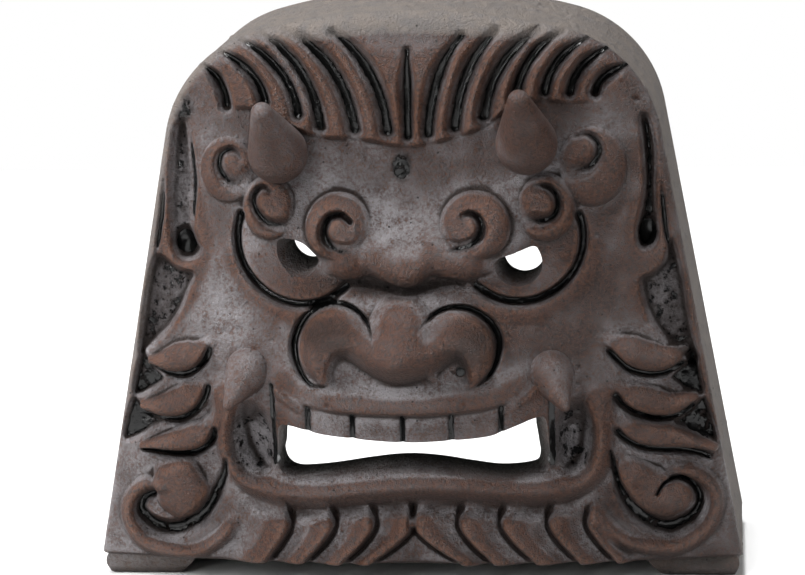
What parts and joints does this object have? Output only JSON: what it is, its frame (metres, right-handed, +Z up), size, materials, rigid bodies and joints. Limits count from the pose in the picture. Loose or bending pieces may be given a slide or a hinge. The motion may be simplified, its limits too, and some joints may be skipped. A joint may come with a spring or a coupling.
{
  "type": "onigawara ridge-end ornament",
  "caption": "Hollow stoneware ridge-end ornament with a carved ogre's face, horns, fangs, an open mouth and pierced eyes; open at the back, standing on two feet.",
  "frame": {"origin": "middle of the object's box, on the floor that its two feet stand on", "axes": "+X to the right as seen from the front, -Y the way the face looks, +Z up"},
  "size_m": [0.256, 0.1208, 0.226],
  "materials": {
    "stoneware": "smoked and ash-glazed stoneware: reddish-brown clay on the crests, blue-grey sheen in the hollows, black gloss pooled in the grooves, sandy matte on the sides"
  },
  "bodies": {
    "root": {"onigawara": "stoneware"}
  },
  "joints": []
}
